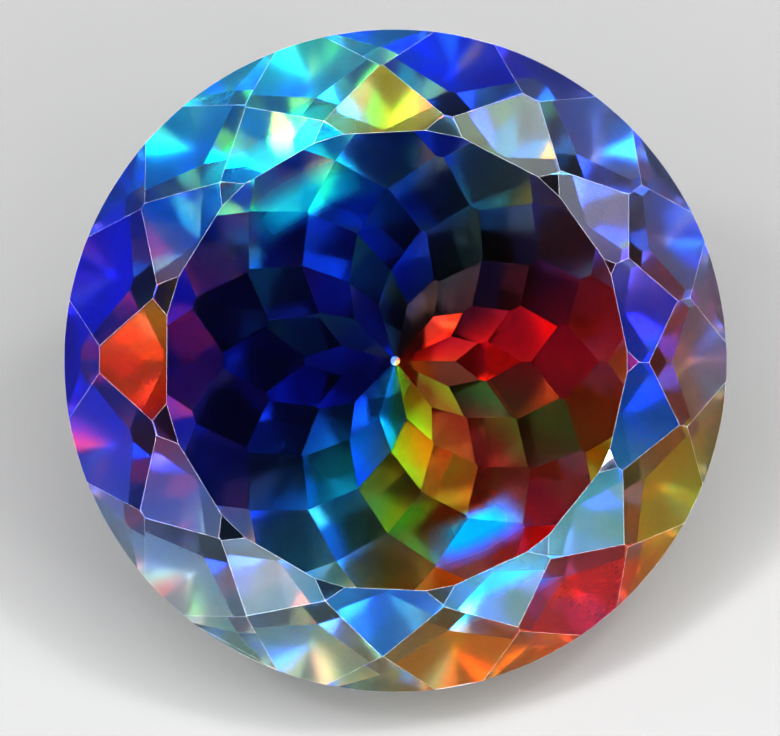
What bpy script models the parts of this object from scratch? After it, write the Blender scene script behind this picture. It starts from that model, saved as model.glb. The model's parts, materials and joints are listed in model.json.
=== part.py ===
"""Rainbow quartz: a round quartz cut by hand with nets of rhombic facets.

The stone is one solid. It is cut upright, with its culet at the origin, its table up and
its girdle radius as the unit of length, in the order a cutter works: the pavilion's rows
from the culet outwards, then the crown's rows, then the table and the worn culet. After
that it is brought to its real size and laid on one of its pavilion facets, as a loose
stone lies.

Metres, +Z up. The origin is the centre of the facet that it lies on, and the table looks
up and towards -Y.
"""

import math

import bmesh
import bpy
from mathutils import Matrix, Vector

# Size of the stone.
GIRDLE_DIAMETER = 0.025

# Index settings of the thirteen main facets, in degrees counter-clockwise, seen on the
# table. They are unequal because the stone is cut by hand. The mid facets lie halfway.
MAIN_INDEX = (0.0, 24.0, 47.0, 78.5, 107.0, 134.0, 163.0, 196.5, 226.0, 253.5, 281.5, 308.0, 334.5)

# Pavilion: the radii of the rings where facet corners meet, from the culet outwards, the
# tangent of the slope of its first row, how much higher the break facets reach on the
# girdle than the mains, and the radius of the worn culet. These and all proportions below
# are in girdle radii.
PAVILION_RINGS = (0.18, 0.28, 0.41, 0.53, 0.64, 0.80)
PAVILION_FIRST_TANGENT = 0.55
PAVILION_BREAK_RISE = 0.02
CULET_RADIUS = 0.014

# Girdle: the round band between the pavilion's mains and the crown's break facets.
GIRDLE_BAND = 0.045
GIRDLE_SIDES = 208

# Crown: the radii of its two rings of facet corners and of the table's long and short
# sides, the tangent of the slope of the break facets, and how much higher the mains stop
# on the girdle than the breaks.
CROWN_OUTER_RING = 0.89
CROWN_INNER_RING = 0.75
TABLE_LONG_SIDES = 0.684
TABLE_SHORT_SIDES = 0.693
CROWN_BREAK_TANGENT = 1.05
CROWN_MAIN_LIFT = 0.012

# The facet that the stone lies on: its row in the pavilion, counted from the culet, and the
# place in the index of the main facet that it is.
REST_ROW = 4
REST_PLACE = 10

# Corners closer together than this, in metres, are one corner.
MERGE_DISTANCE = 0.00002

# Finish of the coated stone.
COAT_COLOUR = (0.10, 0.32, 0.55, 1.0)
COAT_ROUGHNESS = 0.05
COAT_METALLIC = 0.35

# How far a corner that lies half an index step away reaches along a facet's own direction.
HALF_STEP_REACH = math.cos(math.pi / len(MAIN_INDEX))

PAVILION = -1
CROWN = 1


def clear_scene():
    for old in list(bpy.data.objects):
        bpy.data.objects.remove(old, do_unlink=True)


def main_angles():
    return [math.radians(setting) for setting in MAIN_INDEX]


def mid_angles():
    """The azimuths halfway from each main facet to the next one round the stone."""
    following = MAIN_INDEX[1:] + (MAIN_INDEX[0] + 360.0,)
    return [math.radians((main + after) / 2) for main, after in zip(MAIN_INDEX, following)]


def facet_normal(side, azimuth, tangent):
    return Vector((math.cos(azimuth) * tangent, math.sin(azimuth) * tangent, side)).normalized()


def cut(stone, point, normal):
    """Grinds away what lies beyond a plane, and closes the stone with the new facet."""
    parts = stone.verts[:] + stone.edges[:] + stone.faces[:]
    made = bmesh.ops.bisect_plane(
        stone, geom=parts, plane_co=point, plane_no=normal, dist=1e-6, clear_outer=True
    )
    rim = [part for part in made["geom_cut"] if isinstance(part, bmesh.types.BMEdge)]
    bmesh.ops.edgeloop_fill(stone, edges=rim)


def cut_row(stone, side, azimuths, row):
    """Cuts one facet at each azimuth, all through the row's radius and height."""
    radius, height, tangent = row
    for azimuth in azimuths:
        point = Vector((math.cos(azimuth) * radius, math.sin(azimuth) * radius, height))
        cut(stone, point, facet_normal(side, azimuth, tangent))


def pavilion_rows():
    """Radius, height and tangent of each row, and the height of the mains at the girdle.

    A facet's inner tip is a corner of the row before last, and its two side corners
    belong to the last row, so every slope follows from the rings and the first slope.
    """
    radii = (0.0,) + PAVILION_RINGS
    heights = [0.0, PAVILION_FIRST_TANGENT * radii[1] * HALF_STEP_REACH]
    rows = []
    for tip, side in zip(range(len(radii)), range(1, len(radii))):
        tangent = (heights[side] - heights[tip]) / (radii[side] * HALF_STEP_REACH - radii[tip])
        rows.append((radii[tip], heights[tip], tangent))
        outer = radii[side + 1] if side + 1 < len(radii) else 1.0
        heights.append(heights[tip] + tangent * (outer - radii[tip]))
    girdle_height = heights.pop()
    break_tangent = (girdle_height + PAVILION_BREAK_RISE - heights[-1]) / (1.0 - radii[-1])
    rows.append((radii[-1], heights[-1], break_tangent))
    return rows, girdle_height


def crown_rows(base):
    """Radius, height and tangent of each row, from the girdle inwards, and the table's height."""
    outer_height = base + CROWN_BREAK_TANGENT * (1.0 - CROWN_OUTER_RING)
    outer_reach = CROWN_OUTER_RING * HALF_STEP_REACH
    main_tangent = (outer_height - base - CROWN_MAIN_LIFT) / (1.0 - outer_reach)
    inner_height = outer_height + main_tangent * (outer_reach - CROWN_INNER_RING)
    inner_reach = CROWN_INNER_RING * HALF_STEP_REACH
    mid_tangent = (inner_height - outer_height) / (CROWN_OUTER_RING - inner_reach)
    table_height = outer_height + mid_tangent * (CROWN_OUTER_RING - TABLE_LONG_SIDES)
    star_tangent = (table_height - inner_height) / (CROWN_INNER_RING - TABLE_SHORT_SIDES)
    rows = [
        (CROWN_OUTER_RING, outer_height, CROWN_BREAK_TANGENT),
        (CROWN_INNER_RING, inner_height, main_tangent),
        (CROWN_OUTER_RING, outer_height, mid_tangent),
        (CROWN_INNER_RING, inner_height, star_tangent),
    ]
    return rows, table_height


def rough_blank(height):
    """The round preform, a little longer than the stone at both ends."""
    blank = bmesh.new()
    made = bmesh.ops.create_cone(
        blank, cap_ends=True, segments=GIRDLE_SIDES, radius1=1.0, radius2=1.0, depth=height * 1.2
    )
    bmesh.ops.translate(blank, verts=made["verts"], vec=(0.0, 0.0, height / 2))
    return blank


def lying_down(row):
    """The placement that lays the stone on one facet and brings it to its real size.

    The facet's azimuth is turned to -Y, the stone is tipped until that facet faces down,
    and the middle of the facet, halfway between its two tips, comes to the origin.
    """
    tip_radius, tip_height, tangent = row
    azimuth = main_angles()[REST_PLACE]
    radius = (PAVILION_RINGS[REST_ROW - 2] + PAVILION_RINGS[REST_ROW]) / 2
    height = tip_height + tangent * (radius - tip_radius)
    middle = Vector((math.cos(azimuth) * radius, math.sin(azimuth) * radius, height))
    turn = Matrix.Rotation(-math.pi / 2 - azimuth, 4, "Z")
    tilt = Matrix.Rotation(math.atan(tangent), 4, "X")
    size = Matrix.Scale(GIRDLE_DIAMETER / 2, 4)
    return size @ tilt @ turn @ Matrix.Translation(-middle)


def coated_quartz():
    material = bpy.data.materials.new("coated_quartz")
    material.use_nodes = True
    shader = material.node_tree.nodes["Principled BSDF"]
    shader.inputs["Base Color"].default_value = COAT_COLOUR
    shader.inputs["Roughness"].default_value = COAT_ROUGHNESS
    shader.inputs["Metallic"].default_value = COAT_METALLIC
    material.diffuse_color = COAT_COLOUR
    return material


def cut_stone():
    """The stone's bmesh, in girdle radii, and the rows of its pavilion."""
    pavilion, mains_at_girdle = pavilion_rows()
    crown, table_height = crown_rows(mains_at_girdle + GIRDLE_BAND)
    stone = rough_blank(table_height)
    for number, row in enumerate(pavilion):
        cut_row(stone, PAVILION, main_angles() if number % 2 else mid_angles(), row)
    for number, row in enumerate(crown):
        cut_row(stone, CROWN, main_angles() if number % 2 else mid_angles(), row)
    cut(stone, Vector((0.0, 0.0, table_height)), Vector((0.0, 0.0, CROWN)))
    culet_height = CULET_RADIUS * PAVILION_FIRST_TANGENT
    cut(stone, Vector((0.0, 0.0, culet_height)), Vector((0.0, 0.0, PAVILION)))
    return stone, pavilion


def build_stone(collection):
    stone, pavilion = cut_stone()
    bmesh.ops.transform(stone, matrix=lying_down(pavilion[REST_ROW - 1]), verts=stone.verts)
    bmesh.ops.remove_doubles(stone, verts=stone.verts, dist=MERGE_DISTANCE)
    bmesh.ops.dissolve_degenerate(stone, edges=stone.edges, dist=MERGE_DISTANCE)
    bmesh.ops.recalc_face_normals(stone, faces=stone.faces)
    mesh = bpy.data.meshes.new("stone")
    stone.to_mesh(mesh)
    stone.free()
    mesh.materials.append(coated_quartz())
    collection.objects.link(bpy.data.objects.new("stone", mesh))


def main():
    clear_scene()
    collection = bpy.data.collections.new("rainbow_quartz")
    bpy.context.scene.collection.children.link(collection)
    build_stone(collection)


main()
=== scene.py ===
import json
import math

import bmesh
import bpy
from mathutils import Matrix, Vector


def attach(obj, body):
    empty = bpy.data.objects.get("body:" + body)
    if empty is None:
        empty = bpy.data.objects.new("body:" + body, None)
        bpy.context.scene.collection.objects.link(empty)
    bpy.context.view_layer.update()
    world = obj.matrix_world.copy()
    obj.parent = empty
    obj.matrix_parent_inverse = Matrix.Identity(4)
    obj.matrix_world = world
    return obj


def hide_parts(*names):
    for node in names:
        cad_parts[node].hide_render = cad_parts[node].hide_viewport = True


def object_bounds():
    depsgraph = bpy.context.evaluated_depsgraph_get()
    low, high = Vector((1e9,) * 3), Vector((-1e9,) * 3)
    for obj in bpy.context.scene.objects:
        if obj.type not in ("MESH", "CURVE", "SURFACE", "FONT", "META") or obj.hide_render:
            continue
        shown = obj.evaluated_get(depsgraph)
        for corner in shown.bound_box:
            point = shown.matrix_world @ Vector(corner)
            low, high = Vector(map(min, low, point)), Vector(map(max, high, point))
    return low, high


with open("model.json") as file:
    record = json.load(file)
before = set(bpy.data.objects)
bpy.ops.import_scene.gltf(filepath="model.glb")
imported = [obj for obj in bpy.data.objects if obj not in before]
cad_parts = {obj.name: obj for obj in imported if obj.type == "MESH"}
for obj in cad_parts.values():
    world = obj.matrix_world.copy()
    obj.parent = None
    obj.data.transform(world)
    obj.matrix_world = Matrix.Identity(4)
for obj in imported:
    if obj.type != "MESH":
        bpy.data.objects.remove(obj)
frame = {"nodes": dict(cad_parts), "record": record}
cad_low, cad_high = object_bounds()


# ---------------------------------------------------------------------------------------
# The stone: one round quartz, cut by hand with rows of rhombic facets and polished. Its
# pavilion carries a vapour-laid rainbow coat, and its girdle is left as it was ground. Its
# crown and table carry faint tints that are painted reflections of the coat, and on the
# table painted shade too.

mounts = {mount["name"]: mount for mount in frame["record"]["mounts"]}
TABLE_NORMAL = Vector(mounts["table"]["axis"]).normalized()
TABLE_CENTRE = Vector(mounts["table"]["pos_m"])

# The facet index is read from a zero that lies this far round the stone from +X.
INDEX_ZERO = math.radians(-11.5)


def stone_placement():
    """Where the stone's own frame is: +Z out of the table, +X at the zero of its index."""
    across = Vector((1.0, 0.0, 0.0))
    upwards = TABLE_NORMAL.cross(across)
    zero = across * math.cos(INDEX_ZERO) + upwards * math.sin(INDEX_ZERO)
    quarter = TABLE_NORMAL.cross(zero)
    turn = Matrix((zero, quarter, TABLE_NORMAL)).transposed().to_4x4()
    return Matrix.Translation(TABLE_CENTRE) @ turn


STONE_FRAME = stone_placement()
to_stone = STONE_FRAME.inverted()
stone_turn = STONE_FRAME.to_3x3()

# The finishes, in the order of the stone's material slots.
CLEAR, GROUND, COATED, CROWN, WORN, TABLE, BREAK = range(7)

# A face's rise is the cosine between its own normal and the table's.
TABLE_RISE = 0.999
STAR_RISE = 0.9
BREAK_RISE = 0.84
GIRDLE_RISE = 0.2
CULET_RISE = -0.999

# Polishing just takes off the facet edges, and a little more round the brim.
EDGE_BEVEL = 0.000025
BRIM_BEVEL = 0.00014
WELD_WITHIN = 0.000001
FLAT_WITHIN = math.radians(0.3)


def on_brim(edge):
    """Whether an edge is where the crown meets the girdle."""
    rises = sorted(face.normal.dot(TABLE_NORMAL) for face in edge.link_faces)
    return abs(rises[0]) < GIRDLE_RISE and rises[1] > GIRDLE_RISE


def still_sharp(edge):
    """Whether an edge has no taken-off strip beside it yet."""
    return not any(face.material_index for face in edge.link_faces)


def take_off(stone, edges, width):
    """Take edges off to flat worn strips."""
    strips = bmesh.ops.bevel(
        stone,
        geom=edges,
        offset=width,
        offset_type="OFFSET",
        affect="EDGES",
        segments=1,
        profile=0.5,
        material=-1,
        clamp_overlap=True,
    )
    for strip in strips["faces"]:
        strip.material_index = WORN


def finished_piece(shape, name):
    """A shape as an object at the origin, with its place in its mesh."""
    mesh = bpy.data.meshes.new(name)
    shape.to_mesh(mesh)
    shape.free()
    piece = bpy.data.objects.new(name, mesh)
    bpy.context.scene.collection.objects.link(piece)
    return piece


def cut_stone(name, node):
    """The facets of a CAD node as whole flat faces, with their edges just taken off."""
    stone = bmesh.new()
    stone.from_mesh(frame["nodes"][node].data)
    bmesh.ops.remove_doubles(stone, verts=stone.verts, dist=WELD_WITHIN)
    bmesh.ops.dissolve_limit(
        stone, angle_limit=FLAT_WITHIN, verts=stone.verts, edges=stone.edges
    )
    take_off(stone, [edge for edge in stone.edges if on_brim(edge)], BRIM_BEVEL)
    take_off(stone, [edge for edge in stone.edges if still_sharp(edge)], EDGE_BEVEL)
    bmesh.ops.recalc_face_normals(stone, faces=stone.faces)
    return finished_piece(stone, name)


quartz = cut_stone("quartz", "stone")

# The girdle's size and height are measured on the finished stone, at its widest corners.
WIDEST_SHARE = 0.998
corners = [to_stone @ vertex.co for vertex in quartz.data.vertices]
GIRDLE_RADIUS = max(corner.xy.length for corner in corners)
girdle_heights = [
    corner.z for corner in corners if corner.xy.length > GIRDLE_RADIUS * WIDEST_SHARE
]
GIRDLE_HEIGHT = sum(girdle_heights) / len(girdle_heights)


def around(stops):
    """Stops given by their index angle: -180 degrees is 0 on a ramp, and 180 is 1."""
    return sorted((angle / 360 + 0.5, value) for angle, value in stops)


def greys(stops):
    """Stops whose values are greys, as colours."""
    return [(place, (grey, grey, grey)) for place, grey in stops]


def fill_ramp(ramp, stops):
    """Give a new colour ramp its stops."""
    ramp.elements.remove(ramp.elements[-1])
    for number, (place, colour) in enumerate(stops):
        element = ramp.elements[0] if number == 0 else ramp.elements.new(place)
        element.position = place
        element.color = (*colour, 1.0)


class Shader:
    """A material's nodes, added one by one in the order that they are used."""

    def __init__(self, name):
        self.material = bpy.data.materials.new(name)
        self.material.use_nodes = True
        self.tree = self.material.node_tree
        self.surface = self.tree.nodes["Principled BSDF"]

    def add(self, kind, **settings):
        node = self.tree.nodes.new("ShaderNode" + kind)
        for key, setting in settings.items():
            setattr(node, key, setting)
        return node

    def link(self, source, target):
        self.tree.links.new(source, target)

    def give(self, node, values):
        """Set a node's own sockets by name, or link what comes from another node."""
        for name, value in values.items():
            if isinstance(value, bpy.types.NodeSocket):
                self.link(value, node.inputs[name])
            else:
                node.inputs[name].default_value = value

    def math(self, operation, *terms):
        node = self.add("Math", operation=operation)
        for socket, term in zip(node.inputs, terms):
            if isinstance(term, (int, float)):
                socket.default_value = term
            else:
                self.link(term, socket)
        return node.outputs[0]

    def ramp(self, factor, stops):
        """A colour for each value of the factor."""
        node = self.add("ValToRGB")
        fill_ramp(node.color_ramp, stops)
        self.link(factor, node.inputs[0])
        return node.outputs[0]

    def fade(self, factor, stops):
        """A grey for each value of the factor."""
        return self.ramp(factor, greys(stops))

    def mix(self, share, first, second, blend="MIX"):
        node = self.add("Mix", data_type="RGBA", blend_type=blend)
        sockets = (node.inputs[0], node.inputs[6], node.inputs[7])
        for socket, value in zip(sockets, (share, first, second)):
            if isinstance(value, (int, float)):
                socket.default_value = value
            elif isinstance(value, tuple):
                socket.default_value = (*value, 1.0)
            else:
                self.link(value, socket)
        return node.outputs[2]


def place_on_stone(shader):
    """Object coordinates in the stone's own frame, in girdle radii."""
    place = shader.add("TexCoord")
    mapping = shader.add("Mapping", vector_type="TEXTURE")
    shader.give(mapping, {
        "Location": STONE_FRAME.translation,
        "Rotation": STONE_FRAME.to_euler(),
        "Scale": (GIRDLE_RADIUS, GIRDLE_RADIUS, GIRDLE_RADIUS),
        "Vector": place.outputs["Object"],
    })
    return mapping.outputs[0]


def turn_and_reach(shader, place):
    """How far a point is round the stone, from 0 to 1, and out from its middle."""
    axes = shader.add("SeparateXYZ")
    shader.link(place, axes.inputs[0])
    x, y = axes.outputs[0], axes.outputs[1]
    turn = shader.math("MULTIPLY_ADD", shader.math("ARCTAN2", y, x), 0.5 / math.pi, 0.5)
    square = shader.math("MULTIPLY_ADD", y, y, shader.math("MULTIPLY", x, x))
    return turn, shader.math("SQRT", square)


def facet_value(shader, name):
    """A value that is the same all over one facet."""
    return shader.add("Attribute", attribute_name=name).outputs["Fac"]


def blended(shader, facet, smooth, share):
    """A facet's own value with a share of the value at the point itself."""
    near = shader.math("WRAP", shader.math("SUBTRACT", smooth, facet), 0.5, -0.5)
    return shader.math("FRACT", shader.math("MULTIPLY_ADD", near, share, facet))


# The colours that the films show as they are thicker or thinner round the stone. The
# crown, break and table tints use them too, as painted reflection and painted shade.
MIDNIGHT = (0.00, 0.01, 0.14)
NAVY = (0.00, 0.02, 0.22)
INK = (0.02, 0.04, 0.30)
INDIGO = (0.02, 0.04, 0.35)
DEEP_SEA = (0.01, 0.08, 0.15)
DEEP_BLUE = (0.01, 0.06, 0.42)
SAPPHIRE = (0.01, 0.10, 0.64)
COBALT = (0.01, 0.25, 1.00)
ROYAL = (0.05, 0.10, 1.00)
PERIWINKLE = (0.30, 0.42, 1.00)
IRIS = (0.20, 0.26, 1.00)
ULTRAMARINE = (0.27, 0.26, 0.95)
LAVENDER = (0.67, 0.68, 0.94)
AZURE = (0.08, 0.62, 1.00)
CYAN = (0.22, 0.94, 1.00)
TURQUOISE = (0.03, 0.85, 0.95)
PALE_SKY = (0.40, 0.80, 1.00)
STEEL_BLUE = (0.14, 0.29, 0.78)
AQUA = (0.28, 0.88, 0.98)
SLATE = (0.03, 0.14, 0.34)
TEAL = (0.02, 0.30, 0.32)
LAGOON = (0.05, 0.45, 0.45)
ICE = (0.77, 0.95, 0.98)
MINT = (0.88, 1.00, 0.88)
OLIVE = (0.33, 0.31, 0.02)
LEMON = (0.95, 0.75, 0.03)
GOLD = (1.00, 0.66, 0.06)
ORANGE = (1.00, 0.47, 0.05)
CINNAMON = (0.52, 0.19, 0.01)
BRONZE = (0.82, 0.45, 0.05)
RUSSET = (0.50, 0.25, 0.01)
FLAME = (1.00, 0.13, 0.01)
EMBER = (1.00, 0.17, 0.02)
SCARLET = (1.00, 0.06, 0.01)
GARNET = (0.82, 0.03, 0.01)
CRIMSON = (0.90, 0.02, 0.08)
COPPER = (0.75, 0.37, 0.26)
ROSE = (0.75, 0.50, 0.40)
BRASS = (0.64, 0.56, 0.02)
TAUPE = (0.64, 0.52, 0.46)
HAZE = (0.40, 0.48, 0.66)
FROST = (0.62, 0.80, 0.84)
SAGE = (0.58, 0.75, 0.63)
SILVER = (1.00, 1.00, 1.00)
PEARL = (0.88, 0.88, 0.88)
UMBER = (0.13, 0.02, 0.02)
SMOKE = (0.05, 0.05, 0.05)

QUARTZ_IOR = 1.544
POLISH = 0.015

# The coat's films round the stone, by index angle: on the deep inner rows, on the band
# outside them, and on the outer rows under the crown. The star round the culet has the
# inner rows' films, turned a little and doubled, so that it gives back twice the light that
# falls on it: a painted glow.
INNER_COAT = around((
    (-180, MIDNIGHT), (-160, MIDNIGHT), (-137, DEEP_SEA), (-112, TEAL), (-93, OLIVE),
    (-75, CINNAMON), (-58, FLAME), (-45, GARNET), (-23, OLIVE), (-4, GARNET), (15, SCARLET),
    (30, UMBER), (62, SMOKE), (85, INK), (115, SAPPHIRE), (142, DEEP_BLUE), (165, NAVY),
    (180, MIDNIGHT),
))
BAND_COAT = around((
    (-180, ULTRAMARINE), (-145, STEEL_BLUE), (-110, PEARL), (-62, ROSE), (-42, COPPER),
    (-10, COPPER), (35, PEARL), (62, SILVER), (90, PEARL), (120, AQUA), (150, STEEL_BLUE),
    (180, ULTRAMARINE),
))
OUTER_COAT = around((
    (-180, ROYAL), (-164, IRIS), (-150, FROST), (-134, FROST), (-115, SAGE), (-98, SAGE),
    (-82, BRONZE), (-65, ORANGE), (-50, CRIMSON), (-37, GOLD), (-22, BRASS), (0, TAUPE),
    (22, HAZE), (50, HAZE), (75, ROYAL), (100, CYAN), (118, CYAN), (136, AZURE),
    (160, ROYAL), (180, ROYAL),
))
STAR_TURN = -20.0
STAR_PAINTED_GLOW = (2.0, 2.0, 2.0)
INNER_VEIL = 0.03
OUTER_VEIL = 0.05

# Where one ring gives way to the next, in girdle radii from the middle.
STAR_TO_INNER = ((0.18, 0), (0.24, 1))
INNER_TO_BAND = ((0.44, 0), (0.54, 0.08), (0.62, 0.42))
BAND_TO_OUTER = ((0.68, 0), (0.76, 1))

# Two patches between the inner and the outer rows have a thinner, turquoise film, which
# shows its own colour more and mirrors less.
PATCH_PLACES = around((
    (-180, 0), (-80, 0), (-72, 1), (-57, 1), (-49, 0),
    (100, 0), (110, 1), (130, 1), (138, 0), (180, 0),
))
PATCH_REACH = ((0.50, 0), (0.54, 1), (0.59, 1), (0.65, 0))
PATCH_DULLING = -0.4

# The coat mirrors most round the culet and turns to satin under the crown.
MIRROR_SHARE = ((0.18, 0.96), (0.54, 0.92), (0.76, 0.60))
COAT_ROUGHNESS = ((0.30, 0.05), (0.60, 0.09), (0.80, 0.11))
COAT_TURN_BLEND = 0.35
COAT_RING_BLEND = 0.25

# The coat's thickness wavers in faint clouds.
CLOUD_SCALE = 40.0
CLOUD_DETAIL = 6.0
CLOUD_SHADE = ((0.35, 0.94), (0.65, 1.0))


def turquoise_patch(shader, turn, reach):
    """How much of the turquoise film is at a point."""
    rows = shader.fade(reach, PATCH_REACH)
    return shader.math("MULTIPLY", shader.fade(turn, PATCH_PLACES), rows)


def coat_colour(shader, turn, ring, patch):
    """The coat's film, from the star round the culet to the rows under the crown."""
    inner = shader.mix(INNER_VEIL, shader.ramp(turn, INNER_COAT), PALE_SKY)
    band = shader.ramp(turn, BAND_COAT)
    outer = shader.mix(OUTER_VEIL, shader.ramp(turn, OUTER_COAT), SILVER)
    star_turn = shader.math("FRACT", shader.math("ADD", turn, 1.0 + STAR_TURN / 360))
    star = shader.mix(1.0, shader.ramp(star_turn, INNER_COAT), STAR_PAINTED_GLOW, "MULTIPLY")
    star = shader.mix(INNER_VEIL, star, SILVER)
    colour = shader.mix(shader.fade(ring, STAR_TO_INNER), star, inner)
    colour = shader.mix(shader.fade(ring, INNER_TO_BAND), colour, band)
    colour = shader.mix(shader.fade(ring, BAND_TO_OUTER), colour, outer)
    return shader.mix(patch, colour, TURQUOISE)


def clouded(shader, place, colour):
    """A film's colour with faint clouds in it."""
    clouds = shader.add("TexNoise")
    shader.give(clouds, {"Scale": CLOUD_SCALE, "Detail": CLOUD_DETAIL, "Vector": place})
    shade = shader.fade(clouds.outputs["Fac"], CLOUD_SHADE)
    return shader.mix(1.0, colour, shade, "MULTIPLY")


def coated_quartz():
    """The pavilion, with the rainbow coat on polished quartz."""
    shader = Shader("coated_quartz")
    place = place_on_stone(shader)
    smooth_turn, reach = turn_and_reach(shader, place)
    facet_turn = facet_value(shader, "facet_index")
    facet_ring = facet_value(shader, "facet_reach")
    turn = blended(shader, facet_turn, smooth_turn, COAT_TURN_BLEND)
    ring = blended(shader, facet_ring, reach, COAT_RING_BLEND)
    patch = turquoise_patch(shader, turn, reach)
    colour = clouded(shader, place, coat_colour(shader, turn, ring, patch))
    dulling = shader.math("MULTIPLY_ADD", patch, PATCH_DULLING, 1.0)
    shader.give(shader.surface, {
        "Base Color": colour,
        "Specular Tint": colour,
        "Metallic": shader.math("MULTIPLY", shader.fade(ring, MIRROR_SHARE), dulling),
        "Roughness": shader.fade(reach, COAT_ROUGHNESS),
        "IOR": QUARTZ_IOR,
    })
    return shader.material


# Polishing has left fine pits and hairline scratches on the facets of the crown.
PIT_SCALE = 130.0
PIT_DETAIL = 8.0
PIT_ROUGHNESS = 0.7
PIT_EDGE = ((0.58, 0), (0.80, 1))
HAIR_TURN = (0.3, 0.2, 0.9)
HAIR_STRETCH = (2.0, 260.0, 60.0)
HAIR_DETAIL = 5.0
HAIR_EDGE = ((0.64, 0), (0.70, 1))
WEAR_STRENGTH = 0.05
WEAR_DEPTH = 0.00001


def fine_wear(shader, place, clean, worn):
    """Roughness and bump of a polished face with fine pits and hairline scratches."""
    pits = shader.add("TexNoise")
    shader.give(pits, {
        "Scale": PIT_SCALE,
        "Detail": PIT_DETAIL,
        "Roughness": PIT_ROUGHNESS,
        "Vector": place,
    })
    stretch = shader.add("Mapping")
    shader.give(stretch, {"Rotation": HAIR_TURN, "Scale": HAIR_STRETCH, "Vector": place})
    hairs = shader.add("TexNoise")
    shader.give(hairs, {"Scale": 1.0, "Detail": HAIR_DETAIL, "Vector": stretch.outputs[0]})
    pitted = shader.fade(pits.outputs["Fac"], PIT_EDGE)
    scratched = shader.fade(hairs.outputs["Fac"], HAIR_EDGE)
    wear = shader.math("MAXIMUM", pitted, scratched)
    bump = shader.add("Bump")
    shader.give(bump, {"Strength": WEAR_STRENGTH, "Distance": WEAR_DEPTH, "Height": wear})
    shader.give(shader.surface, {
        "Roughness": shader.math("MULTIPLY_ADD", wear, worn - clean, clean),
        "Normal": bump.outputs[0],
    })


CROWN_CLEAN = 0.02
CROWN_WORN = 0.10
CROWN_SHEEN = 0.05


def painted_crown_quartz():
    """The crown's lower rows, see-through, tinted with the outer coat's colours and a faint
    tinted mirror: painted reflections of the coat under them.
    """
    shader = Shader("painted_crown_quartz")
    fine_wear(shader, place_on_stone(shader), CROWN_CLEAN, CROWN_WORN)
    turn = facet_value(shader, "facet_index")
    shader.give(shader.surface, {
        "Base Color": shader.ramp(turn, OUTER_COAT),
        "Metallic": CROWN_SHEEN,
        "IOR": QUARTZ_IOR,
        "Transmission Weight": 1.0,
    })
    return shader.material


# The big facets between the table and the crown's lower rows are tinted with these colours:
# painted reflections of the coat that the stone mirrors up through them.
BREAK_PAINTED_REFLECTION = around((
    (-180, EMBER), (-172, SCARLET), (-148, PERIWINKLE), (-120, ICE), (-106, AZURE),
    (-92, COBALT), (-65, AQUA), (-38, CYAN), (-13, COBALT), (12, ROYAL), (35, LAVENDER),
    (63, MINT), (92, LEMON), (120, AZURE), (148, COBALT), (171, ORANGE), (180, EMBER),
))
BREAK_WORN = 0.08
BREAK_TURN_BLEND = 0.8
BREAK_SHEEN = 0.04
BREAK_CLEARNESS = 0.96


def painted_break_quartz():
    """The big facets round the table, see-through, tinted with painted reflections of the
    coat.
    """
    shader = Shader("painted_break_quartz")
    place = place_on_stone(shader)
    smooth_turn = turn_and_reach(shader, place)[0]
    fine_wear(shader, place, POLISH, BREAK_WORN)
    facet_turn = facet_value(shader, "facet_index")
    turn = blended(shader, facet_turn, smooth_turn, BREAK_TURN_BLEND)
    shader.give(shader.surface, {
        "Base Color": shader.ramp(turn, BREAK_PAINTED_REFLECTION),
        "Metallic": BREAK_SHEEN,
        "IOR": QUARTZ_IOR,
        "Transmission Weight": BREAK_CLEARNESS,
    })
    return shader.material


# The table is tinted dark blue on one side and red on the other: painted reflections of
# the coat below it and painted shade.
TABLE_PAINTED_REFLECTION_AND_SHADE = around((
    (-180, INDIGO), (-150, INDIGO), (-130, SLATE), (-110, LAGOON), (-92, OLIVE),
    (-75, FLAME), (-58, SCARLET), (-42, GARNET), (-22, RUSSET), (5, GARNET), (30, UMBER),
    (58, SMOKE), (85, MIDNIGHT), (120, SAPPHIRE), (150, INDIGO), (180, INDIGO),
))


def painted_table_quartz():
    """The table, polished and see-through, tinted with painted reflections and painted
    shade.
    """
    shader = Shader("painted_table_quartz")
    turn, reach = turn_and_reach(shader, place_on_stone(shader))
    # The turquoise patches are tinted into the table too, as painted reflection of the
    # coat.
    patch = turquoise_patch(shader, turn, reach)
    shader.give(shader.surface, {
        "Base Color": shader.mix(patch, shader.ramp(turn, TABLE_PAINTED_REFLECTION_AND_SHADE), TURQUOISE),
        "Roughness": POLISH,
        "IOR": QUARTZ_IOR,
        "Transmission Weight": 1.0,
    })
    return shader.material


def clear_quartz():
    """The small star facets beside the table, see-through, with no film."""
    shader = Shader("clear_quartz")
    shader.give(shader.surface, {
        "Base Color": (1.0, 1.0, 1.0, 1.0),
        "Roughness": POLISH,
        "IOR": QUARTZ_IOR,
        "Transmission Weight": 1.0,
    })
    return shader.material


def worn_quartz():
    """The culet and the taken-off edges of the crown and the girdle, dulled by wear."""
    shader = Shader("worn_edge")
    shader.give(shader.surface, {
        "Base Color": (0.95, 0.97, 1.0, 1.0),
        "Roughness": 0.45,
        "IOR": QUARTZ_IOR,
        "Transmission Weight": 0.1,
    })
    return shader.material


def ground_quartz():
    """The girdle, frosted by the grinding wheel."""
    shader = Shader("ground_girdle")
    shader.give(shader.surface, {
        "Base Color": (0.9, 0.93, 0.95, 1.0),
        "Roughness": 0.5,
        "IOR": QUARTZ_IOR,
        "Transmission Weight": 0.8,
    })
    return shader.material


FINISHES = {
    CLEAR: clear_quartz,
    GROUND: ground_quartz,
    COATED: coated_quartz,
    CROWN: painted_crown_quartz,
    WORN: worn_quartz,
    TABLE: painted_table_quartz,
    BREAK: painted_break_quartz,
}


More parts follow.
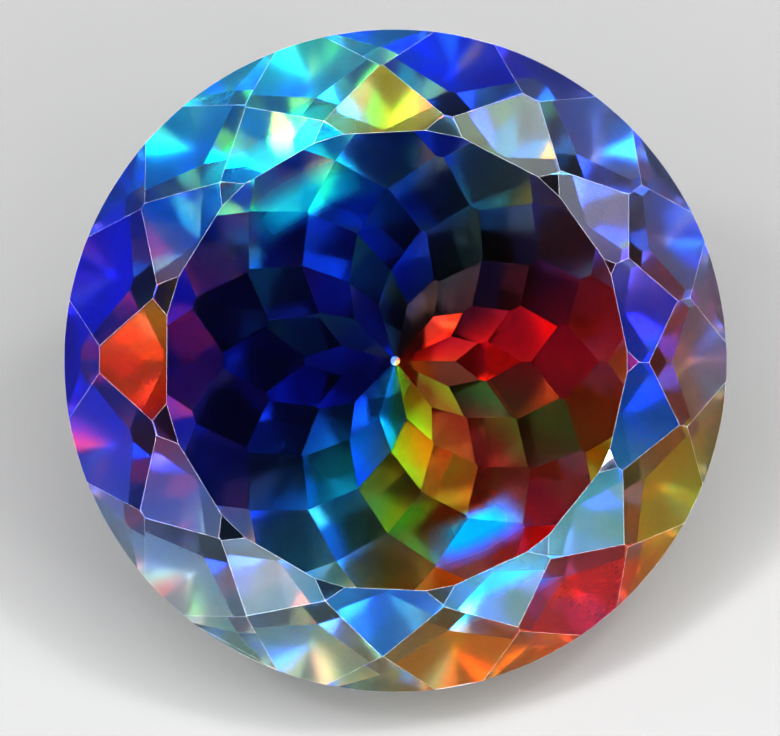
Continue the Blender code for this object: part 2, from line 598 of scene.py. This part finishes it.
def finish_for(rise, taken_off):
    """A face's finish, from its rise and whether it is a taken-off strip."""
    if rise < CULET_RISE:
        return WORN
    if taken_off and rise >= -GIRDLE_RISE:
        return WORN
    if rise > TABLE_RISE:
        return TABLE
    if rise > STAR_RISE:
        return CLEAR
    if rise > BREAK_RISE:
        return BREAK
    if rise > GIRDLE_RISE:
        return CROWN
    if rise < -GIRDLE_RISE:
        return COATED
    return GROUND


def finish_stone(piece):
    """Give each face its finish, its index angle and its reach from the middle."""
    for slot in sorted(FINISHES):
        piece.data.materials.append(FINISHES[slot]())
    index = piece.data.attributes.new("facet_index", "FLOAT", "FACE")
    reach = piece.data.attributes.new("facet_reach", "FLOAT", "FACE")
    for facet in piece.data.polygons:
        rise = facet.normal.dot(TABLE_NORMAL)
        facet.material_index = finish_for(rise, facet.material_index == WORN)
        centre = to_stone @ facet.center
        tilt = to_stone.to_3x3() @ facet.normal
        index.data[facet.index].value = math.atan2(tilt.y, tilt.x) / (2 * math.pi) + 0.5
        reach.data[facet.index].value = centre.xy.length / GIRDLE_RADIUS


finish_stone(quartz)
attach(quartz, "root")
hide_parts("stone")


# ---------------------------------------------------------------------------------------
# The floor: one plain pale sheet of matt board, a hair under the facet that the stone
# lies on. It is there for the renders and is no part of the stone.

FLOOR_SIZE = 3.0
FLOOR_DROP = 0.00003
FLOOR_COLOUR = (0.14, 0.14, 0.14, 1.0)
FLOOR_ROUGHNESS = 0.9


def plain_floor():
    sheet = bmesh.new()
    bmesh.ops.create_grid(sheet, x_segments=1, y_segments=1, size=FLOOR_SIZE / 2)
    drop = (0.0, 0.0, cad_low.z - FLOOR_DROP)
    bmesh.ops.translate(sheet, verts=sheet.verts, vec=drop)
    piece = finished_piece(sheet, "floor")
    shader = Shader("pale_floor")
    shader.give(shader.surface, {
        "Base Color": FLOOR_COLOUR,
        "Roughness": FLOOR_ROUGHNESS,
        "Specular IOR Level": 0.0,
    })
    piece.data.materials.append(shader.material)
    return piece


floor = plain_floor()


# ---------------------------------------------------------------------------------------
# The camera looks straight down on the table, with the zero of the stone's index to its
# right. The stone's middle and radius in the frame are given in pixels.

PICTURE_WIDTH = 780
PICTURE_HEIGHT = 736
STONE_PIXEL_X = 395.4
STONE_PIXEL_Y = 360.7
STONE_PIXEL_RADIUS = 331.0
CAMERA_DISTANCE = 0.30
SENSOR = 36.0

metres_per_pixel = GIRDLE_RADIUS / STONE_PIXEL_RADIUS
view_width = PICTURE_WIDTH * metres_per_pixel
aim = STONE_FRAME @ Vector((
    (PICTURE_WIDTH / 2 - STONE_PIXEL_X) * metres_per_pixel,
    (STONE_PIXEL_Y - PICTURE_HEIGHT / 2) * metres_per_pixel,
    GIRDLE_HEIGHT,
))
lens = bpy.data.cameras.new("camera")
lens.sensor_width = SENSOR
lens.lens = SENSOR * CAMERA_DISTANCE / view_width
lens.clip_start = 0.01
lens.clip_end = 10.0
camera = bpy.data.objects.new("camera", lens)
camera_place = Matrix.Translation(aim + TABLE_NORMAL * CAMERA_DISTANCE)
camera.matrix_world = camera_place @ stone_turn.to_4x4()
bpy.context.scene.collection.objects.link(camera)
bpy.context.scene.camera = camera


# ---------------------------------------------------------------------------------------
# The lamps: a ring of wide soft boxes round the table's normal, smaller ones inside it,
# and a few very small ones for the glints. Each is given by its index angle and its tilt
# from the table's normal, in degrees, and by its power in watts.

LAMP_DISTANCE = 0.6
RING_TILT = 33
BOX_SIZE = (0.24, 0.16)
BOXES = (
    (-57, 1.7), (-100, 1.3), (-145, 1.3), (170, 1.3),
    (125, 1.4), (80, 1.2), (35, 1.4), (-10, 1.3),
)
SPOT_SIZE = (0.12, 0.07)
SPOTS = (
    (-95, 17, 0.14), (-62, 18, 0.24), (-34, 20, 0.22), (3, 14, 0.24), (6, 26, 0.30),
    (38, 18, 0.20), (64, 17, 0.10), (86, 13, 0.18), (122, 22, 0.06),
)
INNER_GLINTS = (
    ("glint_top", -15, 6, (0.05, 0.05), 0.05),
    ("glint_low", -72, 9.5, (0.03, 0.03), 0.04),
)
RING_GLINT_SIZE = (0.06, 0.05)
RING_GLINT_POWER = 0.9
RING_GLINTS = (-25, 55, 145, -110)


def soft_box(name, angle, tilt, size, power):
    """A lamp that faces the table. Its width runs round the stone, its height inwards."""
    turn, lean = math.radians(angle), math.radians(tilt)
    outwards = math.sin(lean)
    way = Vector((math.cos(turn) * outwards, math.sin(turn) * outwards, math.cos(lean)))
    way = stone_turn @ way
    round_way = stone_turn @ Vector((-math.sin(turn), math.cos(turn), 0.0))
    lamp = bpy.data.lights.new(name, "AREA")
    lamp.shape = "RECTANGLE"
    lamp.size, lamp.size_y = size
    lamp.energy = power
    box = bpy.data.objects.new(name, lamp)
    axes = Matrix((round_way, way.cross(round_way), way)).transposed().to_4x4()
    box.matrix_world = Matrix.Translation(TABLE_CENTRE + way * LAMP_DISTANCE) @ axes
    bpy.context.scene.collection.objects.link(box)


for number, (angle, power) in enumerate(BOXES):
    soft_box("soft_box_%d" % number, angle, RING_TILT, BOX_SIZE, power)
for number, (angle, tilt, power) in enumerate(SPOTS):
    soft_box("spot_%d" % number, angle, tilt, SPOT_SIZE, power)
for name, angle, tilt, size, power in INNER_GLINTS:
    soft_box(name, angle, tilt, size, power)
for number, angle in enumerate(RING_GLINTS):
    soft_box("glint_%d" % number, angle, RING_TILT, RING_GLINT_SIZE, RING_GLINT_POWER)


# ---------------------------------------------------------------------------------------
# The studio: a soft bright hoop round the table's normal, dark in its middle and dim
# outside it, so that the facets have both light and dark to mirror.

HORIZON_FACING = 0.15


def facing(angle):
    """The cosine of an angle from the table's normal, which is given in degrees."""
    return math.cos(math.radians(angle))


STUDIO_GREYS = (
    (HORIZON_FACING, 0.25),
    (facing(60), 0.12),
    (facing(44), 0.10),
    (facing(40), 1.80),
    (facing(35), 2.80),
    (facing(29), 2.20),
    (facing(25), 1.00),
    (facing(22), 0.12),
    (facing(8), 0.04),
)
EXPOSURE = 0.4
LIGHT_BOUNCES = 24


def soft_studio():
    world = bpy.data.worlds.new("studio")
    world.use_nodes = True
    tree = world.node_tree
    way = tree.nodes.new("ShaderNodeTexCoord")
    towards_table = tree.nodes.new("ShaderNodeVectorMath")
    towards_table.operation = "DOT_PRODUCT"
    towards_table.inputs[1].default_value = TABLE_NORMAL
    shade = tree.nodes.new("ShaderNodeValToRGB")
    fill_ramp(shade.color_ramp, greys(STUDIO_GREYS))
    tree.links.new(way.outputs["Generated"], towards_table.inputs[0])
    tree.links.new(towards_table.outputs["Value"], shade.inputs[0])
    tree.links.new(shade.outputs[0], tree.nodes["Background"].inputs["Color"])
    return world


scene = bpy.context.scene
scene.world = soft_studio()
scene.view_settings.view_transform = "Standard"
scene.view_settings.look = "High Contrast"
scene.view_settings.exposure = EXPOSURE
scene.cycles.max_bounces = LIGHT_BOUNCES
scene.cycles.glossy_bounces = LIGHT_BOUNCES
scene.cycles.transmission_bounces = LIGHT_BOUNCES
